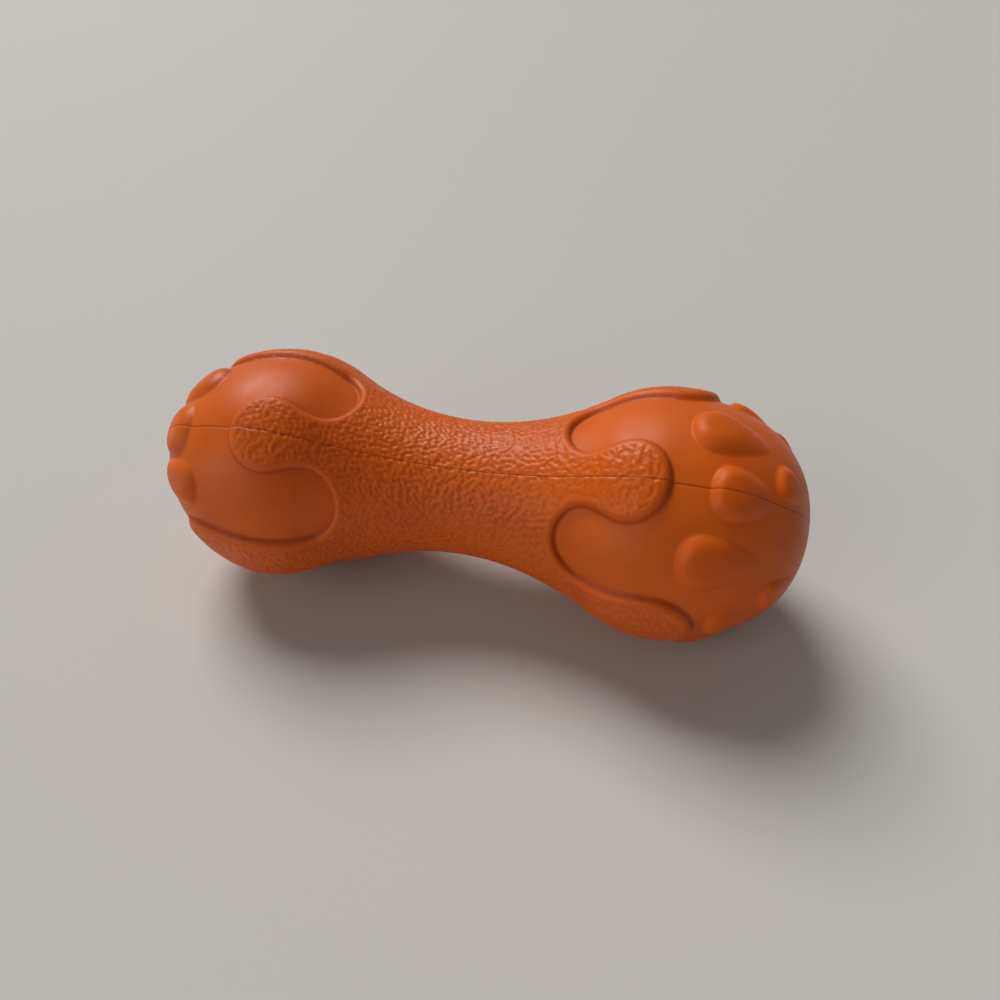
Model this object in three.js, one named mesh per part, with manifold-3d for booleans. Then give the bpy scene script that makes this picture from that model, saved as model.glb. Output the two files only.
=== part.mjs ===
// A chew bone of orange rubber, with a reed squeaker in one end.
// Two half shells are moulded with a raised grained sleeve, round tongues and nubs, and are bonded
// on a slanted plane through the bone's long axis.
// X runs along the bone, Y points away from the viewer and Z is up. Millimetres and degrees.

import * as THREE from 'three';
import { mergeVertices } from 'three/addons/utils/BufferGeometryUtils.js';
import Module from 'manifold-3d';

const wasm = await Module();
wasm.setup();

// Outline of the bone
const boneLength = 170;
const headSpacing = 102; // between the middles of the two heads
const headDiameter = 59.6; // smooth rubber, without tongues and nubs
const waistDiameter = 35.8; // over the sleeve
const sleeveHeight = 2; // the sleeve stands this far proud of the smooth rubber
const edgeRun = 0.8; // width of the slope at the sleeve's edge

// Tongues of the sleeve and the smooth lobes between them
const tonguesPerHead = 5;
const tongueWidth = 18.5; // where the head is widest
const seamTongueLength = 25; // from the tips of the lobes to the end of the tongue on the bond plane
const sideTongueLength = 34; // to the ends of the other tongues
const squeakerSeamExtra = 2.5; // on the squeaker's head the first of these reaches this much further
const squeakerSideExtra = 8; // and the others this much
const tongueRound = 9; // how far a tongue's end falls back at its sides
const lobeReach = 26.5; // from the middle of the bone to the tip of a smooth lobe
const lobeRound = 4.5; // how far a lobe's tip falls back at its sides

// Nubs in rows round each head. A row's offset is measured from the head's middle. Its turns count
// in spacings of the tongues from the one on the bond plane, down the lower half.
const nubHeight = 2;
const plainHeadNubs = [
  { offset: 16.5, length: 15, width: 12, turns: [0] },
  { offset: 12, length: 17, width: 13, turns: [0.42, 1.5, 2.5, 3.5, 4.58] },
  { offset: 17, length: 10, width: 10, turns: [1, 2, 3, 4] },
  { offset: 27, length: 8.5, width: 8.5, turns: [0.8, 1.8, 2.8, 3.8, 4.8] },
];
const squeakerHeadNubs = [
  { offset: 23.5, length: 12, width: 12, turns: [0.53, 1.5, 2.5, 3.5, 4.47] },
];
const nubCrown = 2.2; // above 1 gives a nub a broad top and steep sides
const nubLean = 0.34; // share of half its length by which a nub's top sits towards the waist
const restFlatDepth = 0.6; // the lowest tongues are cut flat by this much

// Walls and bond
const waistWall = 8; // with the sleeve
const headWall = 5.5; // without tongues and nubs
const endWall = 6;
const bondGap = 0.3; // between the two half shells
const partingAngle = 36; // the bond plane's tilt from upright, towards the viewer; a tongue then lies lowest

// Squeaker
const fitGap = 0.3; // between touching pieces
const plugFlangeDiameter = 15;
const plugFlangeThickness = 1.6;
const plugNeckDiameter = 11;
const plugBarbHeight = 1.6; // the barb stands this far proud of the neck
const plugBarbLength = 2.6;
const plugTubeLength = 14; // past the barb
const chamberDiameter = 7.8;
const ventDiameter = 3;
const reedLength = 16;
const reedWidth = 4.6;
const reedThickness = 0.3;
const reedRootLength = 4; // under the wedge
const bedTipLength = 1.6; // solid end of the bed past the groove
const grooveWidth = 2.4;
const grooveDepth = 2;

// Mesh steps
const tongueCells = 3; // across half a tongue
const lobeCells = 4; // across half a lobe
const waistCells = 4; // from the middle to the lobes' tips
const sideCells = 4; // along a tongue's sides
const headCells = 18; // from a tongue's end to the end of the bone
const hollowSides = 24;
const hollowCells = 6; // along each quarter of the hollow
const plugSides = 24;
const plugFaceCells = 3;
const chamberSides = 12;
const weldDistance = 1e-4;

// Sizes that follow from these
const halfLength = boneLength / 2;
const headCentre = headSpacing / 2;
const headRadius = headDiameter / 2;
const waistRadius = waistDiameter / 2;
const sleeveOutline = outline(waistRadius, headRadius + sleeveHeight, halfLength);
const smoothOutline = outline(waistRadius - sleeveHeight, headRadius, halfLength);
const cavityOutline = outline(waistRadius - waistWall, headRadius - headWall, halfLength - endWall);
const axisHeight = sleeveOutline(headCentre) - restFlatDepth;
const parting = THREE.MathUtils.degToRad(partingAngle);

const rubber = new THREE.MeshStandardMaterial({ color: 0xd9712e, roughness: 0.5, metalness: 0 });
const plugPlastic = new THREE.MeshStandardMaterial({ color: 0xe8e4da, roughness: 0.4, metalness: 0 });
const bedPlastic = new THREE.MeshStandardMaterial({ color: 0xd8d6d0, roughness: 0.45, metalness: 0 });
const reedFilm = new THREE.MeshStandardMaterial({ color: 0xf2f0ea, roughness: 0.3, metalness: 0 });

// Radius at a distance from the middle: a hollow arc at the waist, tangent to a round head whose
// outer half is drawn out to the bone's end
function outline(waist, head, end) {
  const flare = (headCentre ** 2 + waist ** 2 - head ** 2) / (2 * (head - waist));
  const tangent = (headCentre * flare) / (flare + head);
  return (distance) => {
    if (distance < tangent) return waist + flare - Math.sqrt(flare ** 2 - distance ** 2);
    if (distance < headCentre) return Math.sqrt(head ** 2 - (headCentre - distance) ** 2);
    const share = Math.min((distance - headCentre) / (end - headCentre), 1);
    return head * Math.sqrt(1 - share ** 2);
  };
}

function spread(from, to, cells) {
  return Array.from({ length: cells + 1 }, (_, i) => from + ((to - from) * i) / cells);
}

// Columns of vertices round half the bone, from the tongue on the bond plane to the opposite side.
// share is 0 in the middle of a tongue or lobe and 1 at its side.
function makeColumns() {
  const halfSector = Math.PI / tonguesPerHead;
  const tongueHalf = tongueWidth / 2 / (headRadius + sleeveHeight);
  const lobeStart = tongueHalf + edgeRun / (headRadius + sleeveHeight);
  const half = [
    ...spread(0, tongueHalf, tongueCells).map((angle) => ({
      angle,
      raised: true,
      share: angle / tongueHalf,
    })),
    ...spread(lobeStart, halfSector, lobeCells).map((angle) => ({
      angle,
      raised: false,
      share: (halfSector - angle) / (halfSector - lobeStart),
    })),
  ];
  const columns = [];
  for (let k = 0; k < tonguesPerHead; k += 1) {
    const mirrored = k % 2 === 1;
    const stretch = mirrored ? [...half].reverse() : half;
    stretch.forEach((column, i) => {
      if (i === 0 && k > 0) return; // shared with the stretch before
      const angle = mirrored ? (k + 1) * halfSector - column.angle : k * halfSector + column.angle;
      // lengths run over from the first tongue to the next across the first lobe
      const sideShare = THREE.MathUtils.smoothstep(angle, lobeStart, 2 * halfSector - lobeStart);
      columns.push({ ...column, angle, sideShare });
    });
  }
  return columns;
}

// Height of the nubs at a distance from the middle and a turn round the bone, in radians
function nubRise(nubs, distance, turn) {
  const spacing = (2 * Math.PI) / tonguesPerHead;
  let rise = 0;
  for (const row of nubs) {
    const share = THREE.MathUtils.clamp((distance - headCentre - row.offset) / (row.length / 2), -1.5, 1.5);
    const along = (share + nubLean) / (1 + nubLean * share);
    for (const place of row.turns) {
      const apart = THREE.MathUtils.euclideanModulo(turn - place * spacing + Math.PI, 2 * Math.PI) - Math.PI;
      const across = (apart * smoothOutline(headCentre + row.offset)) / (row.width / 2);
      const dome = nubCrown * (1 - along ** 2 - across ** 2);
      rise = Math.max(rise, THREE.MathUtils.clamp(dome, 0, 1));
    }
  }
  return rise * nubHeight;
}

// Distance from the middle and radius of each vertex down one column, from the middle to the end
function columnPoints(column, turn, seamLength, sideLength, nubs) {
  const roundOff = 1 - Math.sqrt(1 - column.share ** 2);
  const lobeEdge = lobeReach + (column.raised ? lobeRound : lobeRound * roundOff);
  const tongueEnd = lobeReach + THREE.MathUtils.lerp(seamLength, sideLength, column.sideShare);
  const tongueEdge = tongueEnd - (column.raised ? tongueRound * roundOff : tongueRound);
  const points = [];
  for (const d of spread(0, lobeEdge, waistCells)) points.push([d, sleeveOutline(d)]);
  const sides = column.raised ? sleeveOutline : smoothOutline;
  for (const d of spread(lobeEdge + edgeRun, tongueEdge, sideCells)) points.push([d, sides(d)]);
  // even steps of angle round the head
  const reach = halfLength - headCentre;
  const start = Math.asin((tongueEdge + edgeRun - headCentre) / reach);
  for (const step of spread(start, Math.PI / 2, headCells)) {
    const d = headCentre + reach * Math.sin(step);
    points.push([d, smoothOutline(d) + nubRise(nubs, d, turn)]);
  }
  points[points.length - 1][1] = 0;
  return points;
}

// One half of the bone's outside, closed by its flat bond face, as a solid with no hollow.
// Side 1 runs half a turn down from the tongue on the bond plane, and side -1 runs the other way.
function halfBlock(side) {
  const leftSeam = seamTongueLength + squeakerSeamExtra;
  const leftSide = sideTongueLength + squeakerSideExtra;
  const strips = makeColumns().map((column) => {
    const turn = side * column.angle;
    const right = columnPoints(column, turn, seamTongueLength, sideTongueLength, plainHeadNubs);
    const left = columnPoints(column, turn, leftSeam, leftSide, squeakerHeadNubs);
    const mirrored = left.slice(1).reverse().map(([d, r]) => [-d, r]);
    return { angle: parting + turn, points: [...mirrored, ...right] };
  });
  const middle = parting + (side * Math.PI) / 2;
  const shift = new THREE.Vector3(0, -Math.sin(middle), Math.cos(middle)).multiplyScalar(bondGap / 2);
  const count = strips[0].points.length;
  const positions = [];
  for (const { angle, points } of strips) {
    for (const [x, r] of points) {
      const y = -r * Math.sin(angle) + shift.y;
      const z = r * Math.cos(angle) + shift.z;
      positions.push(x, y, Math.max(z, -axisHeight));
    }
  }
  const index = [];
  for (let c = 0; c + 1 < strips.length; c += 1) {
    for (let i = 0; i + 1 < count; i += 1) {
      const a = c * count + i;
      const b = a + count;
      if (i > 0) index.push(a, a + 1, b);
      if (i + 2 < count) index.push(b, a + 1, b + 1);
    }
  }
  // the bond face is a strip between the first and the last column
  const last = (strips.length - 1) * count;
  for (let i = 0; i + 1 < count; i += 1) {
    if (i > 0) index.push(i, last + i, i + 1);
    if (i + 2 < count) index.push(i + 1, last + i, last + i + 1);
  }
  const geometry = new THREE.BufferGeometry();
  geometry.setAttribute('position', new THREE.Float32BufferAttribute(positions, 3));
  geometry.setIndex(index);
  return facingOut(mergeVertices(geometry, weldDistance));
}

function signedVolume(geometry) {
  const position = geometry.getAttribute('position');
  const index = geometry.getIndex();
  const [a, b, c] = [new THREE.Vector3(), new THREE.Vector3(), new THREE.Vector3()];
  let sum = 0;
  for (let i = 0; i < index.count; i += 3) {
    a.fromBufferAttribute(position, index.getX(i));
    b.fromBufferAttribute(position, index.getX(i + 1));
    c.fromBufferAttribute(position, index.getX(i + 2));
    sum += a.dot(b.cross(c)) / 6;
  }
  return sum;
}

function facingOut(geometry) {
  if (signedVolume(geometry) > 0) return geometry;
  const index = geometry.getIndex();
  for (let i = 0; i < index.count; i += 3) {
    const second = index.getX(i + 1);
    index.setX(i + 1, index.getX(i + 2));
    index.setX(i + 2, second);
  }
  return geometry;
}

function welded(geometry) {
  geometry.deleteAttribute('normal');
  geometry.deleteAttribute('uv');
  return facingOut(mergeVertices(geometry, weldDistance));
}

function toSolid(geometry) {
  const vertProperties = Float32Array.from(geometry.getAttribute('position').array);
  const triVerts = Uint32Array.from(geometry.getIndex().array);
  return new wasm.Manifold(new wasm.Mesh({ numProp: 3, vertProperties, triVerts }));
}

function cut(geometry, tool) {
  const mesh = toSolid(geometry).subtract(toSolid(tool)).getMesh();
  const result = new THREE.BufferGeometry();
  result.setAttribute('position', new THREE.Float32BufferAttribute(mesh.vertProperties, 3));
  result.setIndex(new THREE.Uint32BufferAttribute(mesh.triVerts, 1));
  return result;
}

// A round piece about the bone's axis from [x, radius] points
function turned(points, sides) {
  const profile = points.map(([x, r]) => new THREE.Vector2(r, x));
  const geometry = new THREE.LatheGeometry(profile, sides);
  return welded(geometry.rotateZ(-Math.PI / 2));
}

// A prism along the bone from an outline across it
function drawnAlong(shape, length, curveSegments) {
  const geometry = new THREE.ExtrudeGeometry(shape, { depth: length, bevelEnabled: false, curveSegments });
  const alongX = new THREE.Matrix4().makeBasis(
    new THREE.Vector3(0, 1, 0),
    new THREE.Vector3(0, 0, 1),
    new THREE.Vector3(1, 0, 0),
  );
  return welded(geometry.applyMatrix4(alongX));
}

// Places of the squeaker along the bone, from its end inwards
const flangeRadius = plugFlangeDiameter / 2;
const neckRadius = plugNeckDiameter / 2;
const chamberRadius = chamberDiameter / 2;
const ventRadius = ventDiameter / 2;
const seatRadius = flangeRadius + fitGap;
const holeRadius = neckRadius + fitGap;
const barbRadius = neckRadius + plugBarbHeight;
const cavityReach = halfLength - endWall - headCentre;
const plugFace = leftEnd(halfLength, headRadius, seatRadius);
const flangeBack = plugFace + plugFlangeThickness;
const seatFace = flangeBack + fitGap;
const holeEnd = leftEnd(halfLength - endWall, headRadius - headWall, holeRadius);
const barbStart = leftEnd(halfLength - endWall, headRadius - headWall, barbRadius) + fitGap;
const barbEnd = barbStart + plugBarbLength;
const tubeEnd = barbEnd + plugTubeLength;
const chamberStart = flangeBack;

// Where the left head, or the hollow in it, narrows to a radius
function leftEnd(end, head, radius) {
  return -(headCentre + (end - headCentre) * Math.sqrt(1 - (radius / head) ** 2));
}

// The hollow of the bone with the plug's seat and hole at its left end
function hollow() {
  const past = plugFlangeThickness; // runs out past the end of the bone
  const rightTurns = spread(0, Math.PI / 2, hollowCells);
  const rightHead = rightTurns.map((turn) => headCentre + cavityReach * Math.sin(turn));
  const flare = spread(-headCentre, headCentre, 2 * hollowCells).slice(1, -1);
  const leftTurns = spread(Math.asin((-holeEnd - headCentre) / cavityReach), 0, hollowCells);
  const leftHead = leftTurns.slice(1).map((turn) => -(headCentre + cavityReach * Math.sin(turn)));
  const walls = [...leftHead, ...flare, ...rightHead].map((x) => [x, cavityOutline(Math.abs(x))]);
  walls[walls.length - 1][1] = 0;
  return turned(
    [
      [-halfLength - past, 0],
      [-halfLength - past, seatRadius],
      [seatFace, seatRadius],
      [seatFace, holeRadius],
      [holeEnd, holeRadius],
      ...walls,
    ],
    hollowSides,
  );
}

function shellHalf(side) {
  return cut(halfBlock(side), hollow());
}

// The plug's face carries on the round end of the head
function plug() {
  const steps = spread(ventRadius, flangeRadius, plugFaceCells);
  const face = steps.map((r) => [leftEnd(halfLength, headRadius, r), r]);
  return turned(
    [
      ...face,
      [flangeBack, flangeRadius],
      [flangeBack, neckRadius],
      [barbStart, neckRadius],
      [barbStart, barbRadius],
      [barbEnd, neckRadius],
      [tubeEnd, neckRadius],
      [tubeEnd, chamberRadius],
      [chamberStart, chamberRadius],
      [chamberStart, ventRadius],
      face[0],
    ],
    plugSides,
  );
}

// Part of the chamber's round section above or below a level, as an outline across the bone
function chamberSegment(level, above) {
  const radius = chamberRadius - fitGap;
  const turn = Math.asin(level / radius);
  const shape = new THREE.Shape();
  if (above) shape.absarc(0, 0, radius, turn, Math.PI - turn, false);
  else shape.absarc(0, 0, radius, Math.PI - turn, 2 * Math.PI + turn, false);
  shape.closePath();
  return shape;
}

const bedTop = -reedThickness / 2 - fitGap;
const wedgeBottom = reedThickness / 2 + fitGap;
const bedStart = chamberStart + fitGap;
const bedLength = reedLength;

// Half-round trough, open towards the vent and closed under the reed's tip
function bed() {
  const block = drawnAlong(chamberSegment(bedTop, false), bedLength, chamberSides);
  const grooveLength = bedLength - bedTipLength;
  const groove = new THREE.BoxGeometry(2 * grooveLength, grooveWidth, 2 * grooveDepth);
  return cut(block, welded(groove.translate(0, 0, bedTop)));
}

function wedge() {
  return drawnAlong(chamberSegment(wedgeBottom, true), reedRootLength, chamberSides);
}

// Thin strip with a round tip
function reed() {
  const shape = new THREE.Shape();
  const half = reedWidth / 2;
  shape.moveTo(0, -half);
  shape.lineTo(reedLength - half, -half);
  shape.absarc(reedLength - half, 0, half, -Math.PI / 2, Math.PI / 2, false);
  shape.lineTo(0, half);
  shape.closePath();
  const geometry = new THREE.ExtrudeGeometry(shape, {
    depth: reedThickness,
    bevelEnabled: false,
    curveSegments: chamberSides,
  });
  return welded(geometry.translate(0, 0, -reedThickness / 2));
}

function piece(name, geometry, material) {
  const mesh = new THREE.Mesh(geometry, material);
  mesh.name = name;
  return mesh;
}

const squeaker = new THREE.Group();
squeaker.position.x = bedStart;
squeaker.add(
  piece('reed_bed', bed(), bedPlastic),
  piece('reed_wedge', wedge(), bedPlastic),
  piece('squeaker_reed', reed(), reedFilm),
);

const bone = new THREE.Group();
bone.position.z = axisHeight;
bone.add(
  piece('lower_shell', shellHalf(1), rubber),
  piece('upper_shell', shellHalf(-1), rubber),
  piece('squeaker_plug', plug(), plugPlastic),
  squeaker,
);

const chewBone = new THREE.Group();
chewBone.add(bone);

export default chewBone;
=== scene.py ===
import math

import bpy
import numpy as np
from mathutils import Matrix, Vector


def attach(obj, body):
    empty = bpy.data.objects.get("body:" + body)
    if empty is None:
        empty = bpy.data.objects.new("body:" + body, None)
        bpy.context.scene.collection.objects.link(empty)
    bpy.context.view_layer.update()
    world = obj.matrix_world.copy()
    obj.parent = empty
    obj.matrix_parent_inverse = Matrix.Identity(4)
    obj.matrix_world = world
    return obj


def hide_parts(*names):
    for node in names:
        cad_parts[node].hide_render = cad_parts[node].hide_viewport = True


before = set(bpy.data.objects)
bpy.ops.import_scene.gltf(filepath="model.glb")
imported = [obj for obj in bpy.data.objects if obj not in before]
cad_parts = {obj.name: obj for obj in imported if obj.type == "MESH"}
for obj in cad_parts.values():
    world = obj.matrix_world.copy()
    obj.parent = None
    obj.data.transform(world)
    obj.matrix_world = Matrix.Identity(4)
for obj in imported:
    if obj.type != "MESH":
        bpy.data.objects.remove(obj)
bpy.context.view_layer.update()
scene = bpy.context.scene
scene.view_settings.view_transform = "Standard"
mm = 0.001  # sizes below are in millimetres
print("frame loaded, nodes:", ", ".join(sorted(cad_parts)))


def addObject(name, data):
    item = bpy.data.objects.new(name, data)
    scene.collection.objects.link(item)
    return item


# Camera

viewpoint = {
    "eye": (50.73, -146.44, 158.59),
    "target": (9.34, -4.07, 31.83),
    "roll": -2.9,  # degrees
    "lens": 27.04,
    "sensor": 36.0,
    "clipStart": 10.0,
}


def makeCamera():
    data = bpy.data.cameras.new("viewpoint")
    data.lens = viewpoint["lens"]
    data.sensor_width = viewpoint["sensor"]
    data.clip_start = viewpoint["clipStart"] * mm
    camera = addObject("viewpoint", data)
    eye = Vector(viewpoint["eye"]) * mm
    aim = Vector(viewpoint["target"]) * mm - eye
    turn = aim.to_track_quat("-Z", "Y").to_matrix()
    turn = turn @ Matrix.Rotation(math.radians(viewpoint["roll"]), 3, "Z")
    camera.matrix_world = Matrix.Translation(eye) @ turn.to_4x4()
    scene.camera = camera


makeCamera()
print("camera placed")


# Shader helpers

def addNode(tree, kind, **values):
    node = tree.nodes.new(kind)
    for key, value in values.items():
        setattr(node, key, value)
    return node


def setInputs(node, **values):
    for key, value in values.items():
        node.inputs[key].default_value = value
    return node


def startGroup(name, inputs, outputs):
    tree = bpy.data.node_groups.new(name, "ShaderNodeTree")
    for label, kind in inputs:
        tree.interface.new_socket(label, in_out="INPUT", socket_type=kind)
    for label, kind in outputs:
        tree.interface.new_socket(label, in_out="OUTPUT", socket_type=kind)
    return tree, addNode(tree, "NodeGroupInput"), addNode(tree, "NodeGroupOutput")


def placeGroup(tree, group, values):
    return setInputs(addNode(tree, "ShaderNodeGroup", node_tree=group), **values)


def startMaterial(name):
    material = bpy.data.materials.new(name)
    material.use_nodes = True
    tree = material.node_tree
    return material, tree, tree.nodes["Principled BSDF"]


colourKind, valueKind = "NodeSocketColor", "NodeSocketFloat"


# Slow drift of a colour over a moulding, as pigment never mixes quite evenly

drift = {"detail": 4.0, "roughness": 0.6, "baseBelow": 0.3, "deepAbove": 0.7}


def makeToneDrift():
    tree, given, out = startGroup(
        "toneDrift",
        [("Base", colourKind), ("Deep", colourKind), ("Scale", valueKind), ("Amount", valueKind)],
        [("Color", colourKind)],
    )
    place = addNode(tree, "ShaderNodeTexCoord")
    cloud = addNode(tree, "ShaderNodeTexNoise")
    setInputs(cloud, Detail=drift["detail"], Roughness=drift["roughness"])
    spread = addNode(tree, "ShaderNodeMapRange")
    setInputs(spread, **{"From Min": drift["baseBelow"], "From Max": drift["deepAbove"]})
    share = addNode(tree, "ShaderNodeMath", operation="MULTIPLY")
    mix = addNode(tree, "ShaderNodeMix", data_type="RGBA")
    link = tree.links.new
    link(place.outputs["Object"], cloud.inputs["Vector"])
    link(given.outputs["Scale"], cloud.inputs["Scale"])
    link(cloud.outputs["Fac"], spread.inputs["Value"])
    link(spread.outputs["Result"], share.inputs[0])
    link(given.outputs["Amount"], share.inputs[1])
    link(share.outputs[0], mix.inputs["Factor"])
    link(given.outputs["Base"], mix.inputs["A"])
    link(given.outputs["Deep"], mix.inputs["B"])
    link(mix.outputs["Result"], out.inputs["Color"])
    return tree


# Fine skin that a mould leaves: patchy shine and a shallow height for a bump

skinLook = {
    "patchScale": 140.0,
    "patchDetail": 3.0,
    "shinyBelow": 0.35,
    "dullAbove": 0.65,
    "detail": 2.0,
    "roughness": 0.5,
}


def makeMouldSkin():
    tree, given, out = startGroup(
        "mouldSkin",
        [("Scale", valueKind), ("Shiny", valueKind), ("Dull", valueKind)],
        [("Roughness", valueKind), ("Height", valueKind)],
    )
    place = addNode(tree, "ShaderNodeTexCoord")
    patch = addNode(tree, "ShaderNodeTexNoise")
    setInputs(patch, Scale=skinLook["patchScale"], Detail=skinLook["patchDetail"])
    spread = addNode(tree, "ShaderNodeMapRange")
    setInputs(spread, **{"From Min": skinLook["shinyBelow"], "From Max": skinLook["dullAbove"]})
    skin = addNode(tree, "ShaderNodeTexNoise")
    setInputs(skin, Detail=skinLook["detail"], Roughness=skinLook["roughness"])
    link = tree.links.new
    link(place.outputs["Object"], patch.inputs["Vector"])
    link(place.outputs["Object"], skin.inputs["Vector"])
    link(given.outputs["Scale"], skin.inputs["Scale"])
    link(patch.outputs["Fac"], spread.inputs["Value"])
    link(given.outputs["Shiny"], spread.inputs["To Min"])
    link(given.outputs["Dull"], spread.inputs["To Max"])
    link(spread.outputs["Result"], out.inputs["Roughness"])
    link(skin.outputs["Fac"], out.inputs["Height"])
    return tree


# Small pits and bumps between the folds of the grain, as a height for a bump

pebbleLook = {"warpScale": 500.0, "warpDetail": 1.0, "warpReach": 1.2}


def makePebble():
    tree, given, out = startGroup(
        "pebble", [("Scale", valueKind), ("Mask", valueKind)], [("Height", valueKind)]
    )
    place = addNode(tree, "ShaderNodeTexCoord")
    warp = addNode(tree, "ShaderNodeTexNoise")
    setInputs(warp, Scale=pebbleLook["warpScale"], Detail=pebbleLook["warpDetail"])
    shift = addNode(tree, "ShaderNodeVectorMath", operation="MULTIPLY_ADD")
    shift.inputs[1].default_value = [pebbleLook["warpReach"] * mm] * 3
    cells = addNode(tree, "ShaderNodeTexVoronoi", feature="SMOOTH_F1")
    masked = addNode(tree, "ShaderNodeMath", operation="MULTIPLY")
    link = tree.links.new
    link(place.outputs["Object"], warp.inputs["Vector"])
    link(warp.outputs["Color"], shift.inputs[0])
    link(place.outputs["Object"], shift.inputs[2])
    link(shift.outputs[0], cells.inputs["Vector"])
    link(given.outputs["Scale"], cells.inputs["Scale"])
    link(cells.outputs["Distance"], masked.inputs[0])
    link(given.outputs["Mask"], masked.inputs[1])
    link(masked.outputs[0], out.inputs["Height"])
    return tree


toneDrift = makeToneDrift()
mouldSkin = makeMouldSkin()
pebble = makePebble()
print("shader groups made")


# Rubber of the two halves

rubber = {
    "base": (0.68, 0.117, 0.004, 1),
    "deep": (0.57, 0.086, 0.002, 1),
    "driftScale": 55.0,
    "driftAmount": 0.7,
    "paintedShade": (0.46, 0.30, 0.22, 1),  # painted shade: what the colour in a crease is multiplied by
    "paintedShadeShare": 0.8,
    "shiny": 0.38,
    "dull": 0.50,
    "sleeveRoughness": -0.05,  # added on the sleeve, which is a little shinier
    "shine": 0.22,
    "softness": 0.08,  # light that wanders inside the rubber
    "softReach": (0.0030, 0.0010, 0.0004),  # metres, for red, green and blue
    "skinScale": 1500.0,
    "skinBump": 0.12,
    "skinDepth": 0.2,
    "pebbleScale": 1050.0,
    "pebbleBump": 0.35,
    "pebbleDepth": 0.3,
}


def makeRubber():
    material, tree, shader = startMaterial("orangeRubber")
    tone = placeGroup(tree, toneDrift, {
        "Base": rubber["base"], "Deep": rubber["deep"],
        "Scale": rubber["driftScale"], "Amount": rubber["driftAmount"],
    })
    skin = placeGroup(tree, mouldSkin, {
        "Scale": rubber["skinScale"], "Shiny": rubber["shiny"], "Dull": rubber["dull"],
    })
    grainBumps = placeGroup(tree, pebble, {"Scale": rubber["pebbleScale"]})
    sleeveMask = addNode(tree, "ShaderNodeAttribute", attribute_name="sleeveMask")
    # Painted shade: a vertex mask darkens the colour in the creases
    paintedShadeMask = addNode(tree, "ShaderNodeAttribute", attribute_name="paintedShadeMask")
    paintedShadeAmount = addNode(tree, "ShaderNodeMath", operation="MULTIPLY")
    paintedShadeAmount.inputs[1].default_value = rubber["paintedShadeShare"]
    shade = addNode(tree, "ShaderNodeMix", data_type="RGBA", blend_type="MULTIPLY")
    shade.inputs["B"].default_value = rubber["paintedShade"]
    onSleeve = addNode(tree, "ShaderNodeMath", operation="MULTIPLY_ADD")
    onSleeve.inputs[1].default_value = rubber["sleeveRoughness"]
    coarse = addNode(tree, "ShaderNodeBump")
    setInputs(coarse, Strength=rubber["pebbleBump"], Distance=rubber["pebbleDepth"] * mm)
    fine = addNode(tree, "ShaderNodeBump")
    setInputs(fine, Strength=rubber["skinBump"], Distance=rubber["skinDepth"] * mm)
    link = tree.links.new
    link(paintedShadeMask.outputs["Fac"], paintedShadeAmount.inputs[0])
    link(paintedShadeAmount.outputs[0], shade.inputs["Factor"])
    link(tone.outputs["Color"], shade.inputs["A"])
    link(shade.outputs["Result"], shader.inputs["Base Color"])
    link(sleeveMask.outputs["Fac"], onSleeve.inputs[0])
    link(skin.outputs["Roughness"], onSleeve.inputs[2])
    link(onSleeve.outputs[0], shader.inputs["Roughness"])
    link(sleeveMask.outputs["Fac"], grainBumps.inputs["Mask"])
    link(grainBumps.outputs["Height"], coarse.inputs["Height"])
    link(skin.outputs["Height"], fine.inputs["Height"])
    link(coarse.outputs["Normal"], fine.inputs["Normal"])
    link(fine.outputs["Normal"], shader.inputs["Normal"])
    shader.inputs["Specular IOR Level"].default_value = rubber["shine"]
    shader.inputs["Subsurface Weight"].default_value = rubber["softness"]
    shader.inputs["Subsurface Radius"].default_value = rubber["softReach"]
    shader.inputs["Subsurface Scale"].default_value = 1.0
    return material


# Plastics of the squeaker

plastics = {
    "plugPlastic": {
        "base": (0.78, 0.75, 0.68, 1), "deep": (0.70, 0.66, 0.57, 1), "shiny": 0.30, "dull": 0.42,
    },
    "bedPlastic": {
        "base": (0.70, 0.68, 0.63, 1), "deep": (0.62, 0.60, 0.54, 1), "shiny": 0.38, "dull": 0.52,
    },
    "reedFilm": {
        "base": (0.86, 0.85, 0.80, 1), "deep": (0.78, 0.77, 0.71, 1), "shiny": 0.20, "dull": 0.30,
    },
}
plasticSkin = {"driftScale": 180.0, "driftAmount": 0.6, "scale": 2600.0, "bump": 0.1, "depth": 0.1}


def makePlastic(name):
    look = plastics[name]
    material, tree, shader = startMaterial(name)
    tone = placeGroup(tree, toneDrift, {
        "Base": look["base"], "Deep": look["deep"],
        "Scale": plasticSkin["driftScale"], "Amount": plasticSkin["driftAmount"],
    })
    skin = placeGroup(tree, mouldSkin, {
        "Scale": plasticSkin["scale"], "Shiny": look["shiny"], "Dull": look["dull"],
    })
    bump = addNode(tree, "ShaderNodeBump")
    setInputs(bump, Strength=plasticSkin["bump"], Distance=plasticSkin["depth"] * mm)
    link = tree.links.new
    link(tone.outputs["Color"], shader.inputs["Base Color"])
    link(skin.outputs["Roughness"], shader.inputs["Roughness"])
    link(skin.outputs["Height"], bump.inputs["Height"])
    link(bump.outputs["Normal"], shader.inputs["Normal"])
    return material


orangeRubber = makeRubber()
plasticOf = {name: makePlastic(name) for name in plastics}
print("materials made")


# Outline of the bone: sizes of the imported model, with a fuller dome at the plain end

bone = {
    "headCentre": 51.0,
    "halfLength": 85.0,
    "smoothWaist": 15.9,
    "smoothHead": 29.8,
    "sleeveHeight": 2.0,
    "hollowWaist": 9.9,
    "hollowHead": 24.3,
    "hollowEnd": 79.0,
    "axisHeight": 31.2,
    "partingAngle": 36.0,  # degrees from upright towards the viewer
    "plainEndFullness": 2.25,  # 2 makes the dome of the plain end a half ellipse
}


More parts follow.
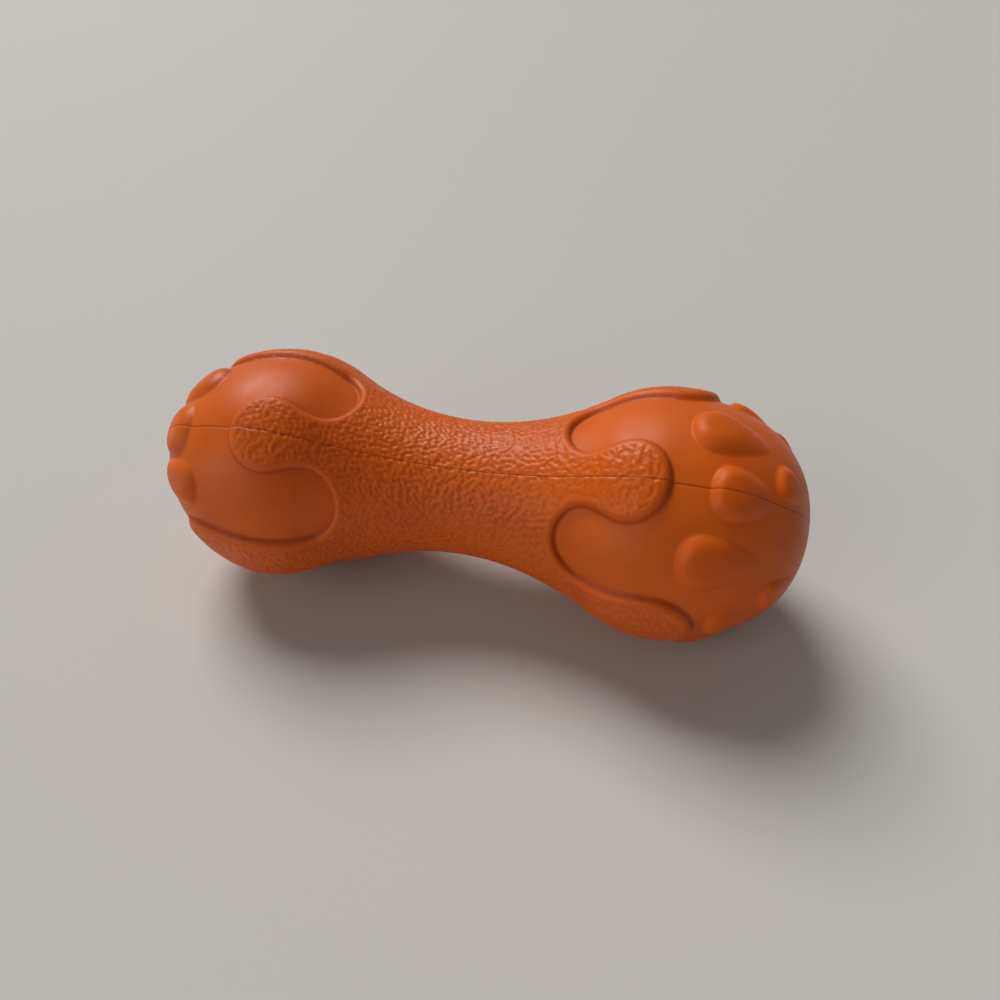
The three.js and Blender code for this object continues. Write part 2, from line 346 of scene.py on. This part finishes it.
# Radius of the bone along its length: a flared waist, a ball and a dome, each tangent to the next
def outline(waist, head, end, fullness=2):
    centre = bone["headCentre"]
    flare = (centre ** 2 + waist ** 2 - head ** 2) / (2 * (head - waist))
    tangent = centre * flare / (flare + head)

    def radius(x):
        d = np.abs(np.asarray(x, float))
        arc = waist + flare - np.sqrt(np.maximum(flare ** 2 - d ** 2, 0))
        ball = np.sqrt(np.maximum(head ** 2 - (centre - d) ** 2, 0))
        share = np.clip((d - centre) / (end - centre), 0, 1)
        power = np.where(np.asarray(x) > 0, fullness, 2)
        dome = head * (1 - share ** power) ** (1 / power)
        return np.where(d < tangent, arc, np.where(d < centre, ball, dome))

    return radius


def outerOutline(height):
    return outline(
        bone["smoothWaist"] + height, bone["smoothHead"] + height,
        bone["halfLength"], bone["plainEndFullness"],
    )


smoothRadius = outerOutline(0)
sleeveRadius = outerOutline(bone["sleeveHeight"])
hollowRadius = outline(bone["hollowWaist"], bone["hollowHead"], bone["hollowEnd"])


# Grained sleeve with its tongues

sleeve = {
    "lobeTip": {"left": 28.3, "right": 26.5},  # from the middle of the bone to the tip of a smooth lobe
    "lobeRun": 7.0,  # a lobe has its full width this far from its tip
    "neckHalf": 14.5,  # degrees from a tongue's middle line to its side, where it is narrowest
    "bulgeHalf": 18.8,
    "bulgeRun": 9.5,  # a tongue is widest this far from its end
    "seamEnd": {"left": 54.0, "right": 51.5},  # ends of the tongues on the parting line
    "sideEnd": {"left": 72.5, "right": 60.5},
    "footRun": 0.5,  # the edge starts this far outside the sleeve's outline
    "topRun": 2.2,  # and is rounded off this far inside it
    "edgeCurve": 2.6,
    "edgePoints": 60,  # on each stretch of the outline
    "grainPitch": 1.4,
    "grainRates": (0.72, 1.35),  # spread of the waves about that pitch
    "grainContrast": 1.5,
    "grainDepth": 0.24,
    "grainWaves": 56,
    "grainSeed": 11,
    "grainFrom": 0.8,  # grain fades in over this stretch inside the outline
    "grainFull": 2.6,
}
measuring = {"margin": 6.0, "farAway": 30.0, "batch": 20000}  # of distances to the sleeve's edge
sectorHalf = 36.0  # degrees, half the angle from one tongue to the next


def easeBetween(low, high, x):
    t = np.clip((x - low) / (high - low), 0, 1)
    return t * t * (3 - 2 * t)


# Degrees from a tongue's middle line to the edge of the sleeve
def sleeveHalf(d, lobeTip, tongueEnd):
    lobeSide = lobeTip + sleeve["lobeRun"]
    bulgeAt = tongueEnd - sleeve["bulgeRun"]
    tip = np.clip((lobeSide - d) / sleeve["lobeRun"], 0, 1)
    atLobe = sectorHalf - (sectorHalf - sleeve["neckHalf"]) * np.sqrt(1 - tip ** 2)
    swell = easeBetween(lobeSide, bulgeAt, d)
    side = sleeve["neckHalf"] + (sleeve["bulgeHalf"] - sleeve["neckHalf"]) * swell
    end = np.clip((d - bulgeAt) / sleeve["bulgeRun"], 0, 1)
    atEnd = sleeve["bulgeHalf"] * np.sqrt(1 - end ** 2)
    found = np.where(d < lobeSide, atLobe, np.where(d < bulgeAt, side, atEnd))
    return np.where(d < lobeTip, sectorHalf + 1, np.where(d > tongueEnd, -1, found))


def onSurface(d, degrees):
    turn = np.radians(degrees)
    r = smoothRadius(d) + bone["sleeveHeight"] / 2
    return np.stack([d, r * np.cos(turn), r * np.sin(turn)], axis=-1)


# Points along the sleeve's edge, over half a tongue
def sleeveEdge(lobeTip, tongueEnd):
    count = sleeve["edgePoints"]
    around = np.linspace(0, math.pi / 2, count)
    lobeSide = lobeTip + sleeve["lobeRun"]
    bulgeAt = tongueEnd - sleeve["bulgeRun"]
    lobe = lobeSide - sleeve["lobeRun"] * np.cos(around)
    side = np.linspace(lobeSide, bulgeAt, count)[1:-1]
    end = bulgeAt + sleeve["bulgeRun"] * np.sin(around)
    d = np.concatenate([lobe, side, end])
    return onSurface(d, np.clip(sleeveHalf(d, lobeTip, tongueEnd), 0, sectorHalf))


# Distance to the sleeve's edge, positive on the sleeve
def edgeDistance(d, fromTongue, lobeTip, tongueEnd):
    edgePoints = sleeveEdge(lobeTip, tongueEnd)
    inside = fromTongue < sleeveHalf(d, lobeTip, tongueEnd)
    near = (d > lobeTip - measuring["margin"]) & (d < tongueEnd + measuring["margin"])
    here = onSurface(d[near], fromTongue[near])
    nearest = np.empty(len(here))
    step = measuring["batch"]
    for start in range(0, len(here), step):
        gap = here[start:start + step, None, :] - edgePoints[None, :, :]
        nearest[start:start + step] = np.sqrt((gap ** 2).sum(axis=2).min(axis=1))
    found = np.full(d.shape, measuring["farAway"])
    found[near] = nearest
    return np.where(inside, found, -found)


# Worm-like leather grain: many waves of about one length that cross at random
def leatherGrain(points):
    draw = np.random.default_rng(sleeve["grainSeed"])
    count = sleeve["grainWaves"]
    heading = draw.normal(size=(count, 3))
    heading /= np.linalg.norm(heading, axis=1)[:, None]
    rate = 2 * math.pi / sleeve["grainPitch"] * draw.uniform(*sleeve["grainRates"], count)
    phase = draw.uniform(0, 2 * math.pi, count)
    total = np.zeros(len(points))
    for k in range(count):
        total += np.cos(points @ heading[k] * rate[k] + phase[k])
    return np.tanh(sleeve["grainContrast"] * total / math.sqrt(count / 2))


# Nubs of the heads: turns count in spacings of the tongues from the one on the parting line

nubs = {
    "height": {"left": 1.8, "right": 2.05},
    "lean": {"left": 0.18, "right": 0.34},  # how far a nub's top sits towards the waist
    "taper": {"left": 0.35, "right": 0.5},  # share of its height that it loses from crest to tail
    "crestAt": -0.6,  # along the nub, from -1 at the waist to 1 at the tail
    "reach": 1.6,  # half lengths that a nub is worked out over
    "edge": 0.6,  # share of a nub's radius that its round side takes
    "curve": 2.0,
    "foot": (-0.01, 0.10),  # stretch that its foot runs out over, as shares of that side
    "left": (
        {"offset": 24.5, "length": 16.0, "width": 15.0, "turns": (0,)},
        {"offset": 20.8, "length": 17.0, "width": 12.5, "turns": (0.45, 1.5, 2.5, 3.5, 4.53)},
    ),
    "right": (
        {"offset": 16.5, "length": 15.0, "width": 12.0, "turns": (0,)},
        {"offset": 12.5, "length": 18.0, "width": 13.2, "turns": (0.45, 1.5, 2.5, 3.5, 4.58)},
        {"offset": 17.0, "length": 10.0, "width": 10.0, "turns": (1, 2, 3, 4), "share": 0.6},
        {"offset": 27.0, "length": 8.5, "width": 8.5, "turns": (0.8, 1.8, 2.8, 3.8, 4.8), "share": 0.65},
    ),
}


# Height of a head's nubs at a distance from the middle and a turn in degrees
def nubRelief(d, turn, head):
    lean, taper = nubs["lean"][head], nubs["taper"][head]
    rise = np.zeros(d.shape)
    for row in nubs[head]:
        at = bone["headCentre"] + row["offset"]
        along = np.clip((d - at) / (row["length"] / 2), -nubs["reach"], nubs["reach"])
        top = row.get("share", 1) * (1 - taper * easeBetween(nubs["crestAt"], 1, along))
        along = (along + lean) / (1 + lean * along)
        for place in row["turns"]:
            apart = (turn - place * 2 * sectorHalf + 180) % 360 - 180
            across = np.radians(apart) * smoothRadius(at) / (row["width"] / 2)
            share = np.clip((1 - np.hypot(along, across)) / nubs["edge"], 0, 1)
            dome = 1 - (1 - share) ** nubs["curve"]
            rise = np.maximum(rise, top * dome * easeBetween(*nubs["foot"], share))
    return rise * nubs["height"][head]


# Half shells

shell = {
    "columns": 218,  # round half the bone
    "rowStep": 0.395,  # along the sleeve
    "endStep": 0.9,  # at the ends of the bone
    "stepFrom": 65.0,  # rows get wider from here to the ends
    "endSamples": 400,  # of the outline, from which the rows are spaced
    "middleSamples": 1200,
    "partingDip": ((0.0, 0.12), (0.3, 0.08), (0.6, 0.02)),  # degrees from the bond face, and depth there
    "partingRun": 1.0,  # the groove ends this far from the bond face
    "hollowColumns": 25,
    "hollowRows": {"plugEnd": 10, "middle": 27, "plainEnd": 11},
    "bondGap": 0.04,
}
seat = {  # of the squeaker's flange in the rubber, with places along the bone
    "radius": 7.8,
    "rim": -83.814,
    "face": -81.914,
    "holeRadius": 5.8,
    "holeEnd": -78.191,
}
paintedShades = {  # how dark the painted shade in a crease is, and where the one along the sleeve's edge runs
    "edge": 0.8,
    "edgeOutside": 0.25,
    "edgeWidth": 0.5,
    "grain": 0.30,
    "parting": 0.4,
}


# Stations along the bone, from the squeaker's seat to the far end
def outerStations():
    turn = np.linspace(0, math.pi / 2, shell["endSamples"])
    centre = bone["headCentre"]
    end = centre + (bone["halfLength"] - centre) * np.sin(turn)
    middle = np.linspace(-centre, centre, shell["middleSamples"])[1:-1]
    x = np.concatenate([-end[::-1], middle, end])
    r = smoothRadius(x)
    r[0] = r[-1] = 0
    keep = x >= seat["rim"]
    x = np.concatenate([[seat["rim"]], x[keep]])
    r = np.concatenate([[seat["radius"]], r[keep]])
    piece = np.hypot(np.diff(x), np.diff(r))
    middleX = (x[1:] + x[:-1]) / 2
    widen = easeBetween(shell["stepFrom"], bone["halfLength"], np.abs(middleX))
    step = shell["rowStep"] + (shell["endStep"] - shell["rowStep"]) * widen
    count = np.concatenate([[0], np.cumsum(piece / step)])
    wanted = np.linspace(0, count[-1], int(count[-1]) + 1)
    return np.interp(wanted, count, x)


# Degrees from the bond face, with a few columns more in the parting groove
def columnAngles():
    rim = [angle for angle, depth in shell["partingDip"]]
    run = shell["partingRun"]
    inner = np.linspace(run, 180 - run, shell["columns"] - 2 * len(rim))
    return np.concatenate([rim, inner, [180 - angle for angle in reversed(rim)]])


# Distance to the sleeve's edge and height of the nubs, by head and by tongue
def layPattern(x, d, turn):
    fromTongue = np.abs((turn + sectorHalf) % (2 * sectorHalf) - sectorHalf)
    onSeam = np.abs((turn + 180) % 360 - 180) < sectorHalf
    gap = np.empty(d.shape)
    rise = np.empty(d.shape)
    for head, here in (("left", x < 0), ("right", x >= 0)):
        lobeTip = sleeve["lobeTip"][head]
        for ends, kind in (("seamEnd", onSeam), ("sideEnd", ~onSeam)):
            part = here & kind
            gap[part] = edgeDistance(d[part], fromTongue[part], lobeTip, sleeve[ends][head])
        rise[here] = nubRelief(d[here], turn[here], head)
    return gap, rise


# Places and masks of the outside of one half; side 1 runs down from the parting line, -1 runs up
def outerSurface(side):
    stations = outerStations()
    angles = columnAngles()
    x, turn = np.meshgrid(stations, side * angles, indexing="ij")
    psi = np.radians(bone["partingAngle"] + turn)
    gap, rise = layPattern(x, np.abs(x), turn)
    run = np.clip((gap + sleeve["footRun"]) / (sleeve["footRun"] + sleeve["topRun"]), 0, 1)
    raised = 1 - (1 - run) ** sleeve["edgeCurve"]
    low, high = smoothRadius(x), sleeveRadius(x)
    radius = low + (high - low) * raised

    grained = easeBetween(sleeve["grainFrom"], sleeve["grainFull"], gap)
    grain = np.zeros(x.shape)
    some = grained > 0
    across = radius[some] * np.sin(psi[some])
    upward = radius[some] * np.cos(psi[some])
    grain[some] = leatherGrain(np.stack([x[some], across, upward], axis=-1))
    radius = radius - grained * sleeve["grainDepth"] * (1 - grain) / 2

    slope = np.gradient(smoothRadius(stations), stations)
    slope[-1] = slope[-2]
    lean = np.arctan(slope)[:, None]
    along = x - rise * np.sin(lean)
    radius = radius + rise * np.cos(lean)

    fromBond = np.minimum(angles, 180 - angles)
    dipAt, dipDepth = zip(*shell["partingDip"], (shell["partingRun"], 0))
    dip = np.interp(fromBond, dipAt, dipDepth)
    radius = radius - np.minimum(dip[None, :], radius)
    y = -radius * np.sin(psi)
    z = radius * np.cos(psi)
    # Painted shade: darker colour at the foot of the sleeve's edge, in the grain's grooves and in the
    # parting groove
    paintedShade = paintedShades["edge"] * np.exp(-((gap + paintedShades["edgeOutside"]) / paintedShades["edgeWidth"]) ** 2)
    paintedShade = np.maximum(paintedShade, paintedShades["grain"] * grained * np.clip(-grain, 0, 1))
    paintedShade = np.maximum(paintedShade, paintedShades["parting"] * (dip / dip.max())[None, :])
    return along, y, z, grained, paintedShade


# Stations and radii of the inside, from the plug's seat to the last ring before the hollow's far end
def innerProfile():
    centre = bone["headCentre"]
    reach = bone["hollowEnd"] - centre
    rows = shell["hollowRows"]
    left = np.linspace(math.asin((-seat["holeEnd"] - centre) / reach), 0, rows["plugEnd"])
    right = np.linspace(0, math.pi / 2, rows["plainEnd"])
    middle = np.linspace(-centre, centre, rows["middle"])[1:-1]
    x = np.concatenate([-(centre + reach * np.sin(left)), middle, centre + reach * np.sin(right)])
    r = hollowRadius(x)
    r[0] = seat["holeRadius"]
    mouth = [(seat["face"], seat["radius"]), (seat["face"], seat["holeRadius"])]
    return mouth + list(zip(x[:-1], r[:-1]))


# Vertices of one half: its outside and the far point of that, then its inside and the far point of that
def shellPoints(side, along, y, z, profile, turns):
    outside = np.stack([along, y, z], axis=-1)[:-1].reshape(-1, 3)  # the last row is one point
    inside = []
    for px, pr in profile:
        for turn in np.radians(bone["partingAngle"] + side * turns):
            inside.append((px, -pr * math.sin(turn), pr * math.cos(turn)))
    outsideTip = (bone["halfLength"], 0, 0)
    insideTip = (bone["hollowEnd"], 0, 0)
    points = np.concatenate([outside, [outsideTip], inside, [insideTip]])
    middle = math.radians(bone["partingAngle"] + 90 * side)
    half = shell["bondGap"] / 2
    points[:, 1] += -math.sin(middle) * half
    points[:, 2] = np.maximum(points[:, 2] + math.cos(middle) * half + bone["axisHeight"], 0)  # rests flat
    return points


# Triangles between two rows of vertices that run the same way, each with its own measure along the run
def stitch(rowA, atA, rowB, atB):
    faces = []
    a, b = 0, 0
    while a + 1 < len(rowA) or b + 1 < len(rowB):
        stepA = b + 1 == len(rowB) or (a + 1 < len(rowA) and atA[a + 1] <= atB[b + 1])
        if stepA:
            faces.append((rowA[a], rowA[a + 1], rowB[b]))
            a += 1
        else:
            faces.append((rowA[a], rowB[b + 1], rowB[b]))
            b += 1
    return faces


outsideChart, hollowChart, bondChart = 0, 1, 2  # parts of a half; the second bond face counts one on


# Faces of one half, and the chart of each
def shellFaces(side, rows, columns, profile, turns):
    rings, spokes = len(profile), len(turns)
    outerTip = (rows - 1) * columns
    innerStart = outerTip + 1
    innerTip = innerStart + rings * spokes

    def outerAt(i, j):
        return min(i * columns + j, outerTip)

    def innerAt(i, j):
        return min(innerStart + i * spokes + j, innerTip)

    outside = []
    for i in range(rows - 2):
        for j in range(columns - 1):
            outside.append((outerAt(i, j), outerAt(i, j + 1), outerAt(i + 1, j + 1), outerAt(i + 1, j)))
    last = rows - 2
    outside += [(outerAt(last, j), outerAt(last, j + 1), outerTip) for j in range(columns - 1)]

    hollow = []
    for i in range(rings - 1):
        for j in range(spokes - 1):
            hollow.append((innerAt(i, j), innerAt(i + 1, j), innerAt(i + 1, j + 1), innerAt(i, j + 1)))
    last = rings - 1
    hollow += [(innerAt(last, j), innerTip, innerAt(last, j + 1)) for j in range(spokes - 1)]
    rimRow = [outerAt(0, j) for j in range(columns)]
    seatRow = [innerAt(0, j) for j in range(spokes)]
    hollow += [face[::-1] for face in stitch(rimRow, columnAngles(), seatRow, turns)]

    faces = outside + hollow
    charts = [outsideChart] * len(outside) + [hollowChart] * len(hollow)
    reaches = [px for px, pr in profile] + [bone["hollowEnd"]]
    for rim in (0, 1):
        outerRim = [outerAt(i, rim * (columns - 1)) for i in range(rows)]
        innerRim = [innerAt(i, rim * (spokes - 1)) for i in range(rings + 1)]
        found = stitch(outerRim, outerStations(), innerRim, reaches)
        faces += [face[::-1] for face in found] if rim else found
        charts += [bondChart + rim] * len(found)
    if side < 0:
        faces = [face[::-1] for face in faces]
    return faces, np.array(charts)


# The second mask holds the painted shade of the creases
def layVertexMasks(mesh, outerTip, sleeveMask, paintedShadeMask):
    for label, grid in (("sleeveMask", sleeveMask), ("paintedShadeMask", paintedShadeMask)):
        values = np.zeros(len(mesh.vertices), np.float32)
        values[:outerTip] = grid[:-1].reshape(-1)
        mesh.attributes.new(label, "FLOAT", "POINT").data.foreach_set("value", values)


# A map without overlaps: the outside in one strip, the hollow and the two bond faces in strips below it

bakeMap = {
    "across": (0.01, 0.98),  # where all strips start, and their length
    "outside": (0.48, 0.51),  # where this strip starts from below, and its height
    "hollow": (0.26, 0.20),
    "bond": ((0.135, 0.11), (0.01, 0.11)),
    "halfLength": 86.0,  # of the bone, at the ends of a strip
    "radius": 34.0,  # from the bone's axis, at the top of a bond face's strip
    "slack": 20.0,  # degrees past the bond face that count as before it
}


def alongStrip(strip, share):
    start, length = strip
    return start + length * share


def layBakeMap(mesh, charts, rows, columns, side):
    count = len(mesh.vertices)
    outerTip = (rows - 1) * columns
    place = np.empty(count * 3, np.float32)
    mesh.vertices.foreach_get("co", place)
    x, y, z = (place.reshape(-1, 3) / mm).T
    z = z - bone["axisHeight"]
    turn = side * (np.degrees(np.arctan2(-y, z)) - bone["partingAngle"])
    turn = (turn + bakeMap["slack"]) % 360 - bakeMap["slack"]
    outward = np.hypot(y, z) / bakeMap["radius"]
    rowAt = np.zeros(count)
    rowAt[:outerTip] = np.repeat(np.arange(rows - 1), columns)
    rowAt[outerTip] = rows - 1
    columnAt = np.zeros(count)
    columnAt[:outerTip] = np.tile(np.arange(columns), rows - 1)
    columnAt[outerTip] = columns / 2
    lengthwise = alongStrip(bakeMap["across"], (x + bakeMap["halfLength"]) / (2 * bakeMap["halfLength"]))
    byRow = alongStrip(bakeMap["across"], rowAt / (rows - 1))
    u = np.stack([byRow, lengthwise, lengthwise, lengthwise])
    v = np.stack([
        alongStrip(bakeMap["outside"], columnAt / (columns - 1)),
        alongStrip(bakeMap["hollow"], np.clip(turn, 0, 180) / 180),
        alongStrip(bakeMap["bond"][0], outward),
        alongStrip(bakeMap["bond"][1], outward),
    ])
    vertex = np.empty(len(mesh.loops), np.int32)
    mesh.loops.foreach_get("vertex_index", vertex)
    corners = np.empty(len(mesh.polygons), np.int32)
    mesh.polygons.foreach_get("loop_total", corners)
    chart = np.repeat(charts, corners)
    layer = mesh.uv_layers.new(name="OFBake")
    both = np.stack([u[chart, vertex], v[chart, vertex]], axis=1)
    layer.data.foreach_set("uv", both.astype(np.float32).reshape(-1))


def makeShell(name, node, side):
    along, y, z, sleeveMask, paintedShadeMask = outerSurface(side)
    rows, columns = along.shape
    profile = innerProfile()
    turns = np.linspace(0, 180, shell["hollowColumns"])
    points = shellPoints(side, along, y, z, profile, turns)
    faces, charts = shellFaces(side, rows, columns, profile, turns)
    mesh = bpy.data.meshes.new(name)
    mesh.from_pydata((points * mm).tolist(), [], faces)
    mesh.update()
    layVertexMasks(mesh, (rows - 1) * columns, sleeveMask, paintedShadeMask)
    layBakeMap(mesh, charts, rows, columns, side)
    mesh.polygons.foreach_set("use_smooth", charts < bondChart)
    mesh.materials.append(orangeRubber)
    piece = addObject(name, mesh)
    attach(piece, "bone")
    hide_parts(node)
    print(name, "made,", len(faces), "faces")


makeShell("lowerHalf", "lower_shell", 1)
makeShell("upperHalf", "upper_shell", -1)


# Plug of the squeaker, turned about the bone's axis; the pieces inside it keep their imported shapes

plug = {
    "segments": 96,
    "flangeRadius": 7.5,
    "flangeThickness": 1.6,
    "rounding": 0.45,
    "roundingSteps": 6,
    "faceRings": 14,
    "inset": 0.01,  # the face lies this far inside the bone's dome
    "neckRadius": 5.5,
    "barbRadius": 7.1,
    "barbStart": -77.478,
    "barbLength": 2.6,
    "tubeEnd": -60.878,
    "chamberRadius": 3.9,
    "ventRadius": 1.5,
    "ventLip": 0.3,  # its mouth is rounded over this much
    "lipBevel": 0.09,
    "sharpAngle": 40.0,  # degrees
}
plainFinishes = {"reed_bed": "bedPlastic", "reed_wedge": "bedPlastic", "squeaker_reed": "reedFilm"}


# Places along the bone and radii, round the plug's section
def plugProfile():
    reach = bone["halfLength"] - bone["headCentre"]
    flange, rounding = plug["flangeRadius"], plug["rounding"]
    neck, chamber = plug["neckRadius"], plug["chamberRadius"]
    vent, lip, bevel = plug["ventRadius"], plug["ventLip"], plug["lipBevel"]
    back = seat["rim"] + plug["flangeThickness"]
    barbStart = plug["barbStart"]
    barbEnd = barbStart + plug["barbLength"]
    tubeEnd = plug["tubeEnd"]

    def faceAt(r):
        return -(bone["headCentre"] + reach * math.sqrt(1 - (r / bone["smoothHead"]) ** 2))

    points = [(faceAt(vent) + lip, vent), (faceAt(vent) + bevel, vent + bevel)]
    shoulder = flange - rounding
    for r in np.linspace(vent + lip, shoulder, plug["faceRings"]):
        points.append((faceAt(r) + plug["inset"], r))
    edge = faceAt(shoulder) + plug["inset"]
    for turn in np.linspace(0, math.pi / 2, plug["roundingSteps"] + 1)[1:]:
        points.append((edge + rounding * (1 - math.cos(turn)), shoulder + rounding * math.sin(turn)))
    points += [(back, flange), (back, neck), (barbStart, neck), (barbStart, plug["barbRadius"])]
    points += [(barbEnd, neck), (tubeEnd, neck), (tubeEnd, chamber), (back, chamber), (back, vent)]
    return points


def makePlug():
    profile = plugProfile()
    count = plug["segments"]
    points, faces = [], []
    for x, r in profile:
        for turn in np.linspace(0, 2 * math.pi, count, endpoint=False):
            height = bone["axisHeight"] + r * math.cos(turn)
            points.append((x * mm, -r * math.sin(turn) * mm, height * mm))
    for i in range(len(profile)):
        a, b = i * count, (i + 1) % len(profile) * count
        for j in range(count):
            k = (j + 1) % count
            faces.append((a + j, a + k, b + k, b + j))
    mesh = bpy.data.meshes.new("plugBody")
    mesh.from_pydata(points, [], faces)
    mesh.update()
    mesh.shade_smooth()
    mesh.set_sharp_from_angle(angle=math.radians(plug["sharpAngle"]))
    mesh.materials.append(plasticOf["plugPlastic"])
    piece = addObject("plugBody", mesh)
    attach(piece, "bone")
    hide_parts("squeaker_plug")


makePlug()
for node, finish in plainFinishes.items():
    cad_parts[node].material_slots[0].material = plasticOf[finish]
print("squeaker finished")


# Floor and light

studio = {
    "floorColour": (0.56, 0.55, 0.53, 1),
    "floorRoughness": 0.75,
    "floorSize": 6.0,  # metres
    "skyColour": (1.0, 0.98, 0.95, 1),
    "skyStrength": 0.14,
    "backdrop": (0.34, 0.333, 0.32, 1),
    "lamps": {
        "window": {
            "from": (-0.44, 0.44, 0.78), "spread": 32.0, "strength": 2.5, "colour": (1.0, 0.97, 0.93),
        },
        "room": {
            "from": (-0.612, -0.724, 0.319), "spread": 50.0, "strength": 0.8, "colour": (1.0, 0.97, 0.94),
        },
    },
}


def makeFloor():
    half = studio["floorSize"] / 2
    corners = [(-half, -half, 0), (half, -half, 0), (half, half, 0), (-half, half, 0)]
    mesh = bpy.data.meshes.new("floor")
    mesh.from_pydata(corners, [], [(0, 1, 2, 3)])
    material, tree, shader = startMaterial("paleBoard")
    shader.inputs["Base Color"].default_value = studio["floorColour"]
    shader.inputs["Roughness"].default_value = studio["floorRoughness"]
    mesh.materials.append(material)
    floor = addObject("floor", mesh)


# A wide window behind on the left, and the weaker light of a room from the front
def makeLamps():
    for name, look in studio["lamps"].items():
        data = bpy.data.lights.new(name, "SUN")
        data.energy = look["strength"]
        data.angle = math.radians(look["spread"])
        data.color = look["colour"]
        lamp = addObject(name, data)
        at = Vector(look["from"])
        lamp.matrix_world = Matrix.Translation(at) @ (-at).to_track_quat("-Z", "Y").to_matrix().to_4x4()


# The sky lights the part; the camera, mirrors and glass see a plain backdrop in its place
def makeSky():
    world = bpy.data.worlds.new("sky")
    world.use_nodes = True
    tree = world.node_tree
    light = tree.nodes["Background"]
    light.inputs["Color"].default_value = studio["skyColour"]
    light.inputs["Strength"].default_value = studio["skyStrength"]
    seen = addNode(tree, "ShaderNodeBackground")
    seen.inputs["Color"].default_value = studio["backdrop"]
    rays = addNode(tree, "ShaderNodeLightPath")
    mirrored = addNode(tree, "ShaderNodeMath", operation="MAXIMUM")
    shown = addNode(tree, "ShaderNodeMath", operation="MAXIMUM")
    mix = addNode(tree, "ShaderNodeMixShader")
    link = tree.links.new
    link(rays.outputs["Is Glossy Ray"], mirrored.inputs[0])
    link(rays.outputs["Is Transmission Ray"], mirrored.inputs[1])
    link(rays.outputs["Is Camera Ray"], shown.inputs[0])
    link(mirrored.outputs[0], shown.inputs[1])
    link(shown.outputs[0], mix.inputs["Fac"])
    link(light.outputs[0], mix.inputs[1])
    link(seen.outputs[0], mix.inputs[2])
    link(mix.outputs[0], tree.nodes["World Output"].inputs["Surface"])
    scene.world = world


makeFloor()
makeLamps()
makeSky()
print("floor and light made")
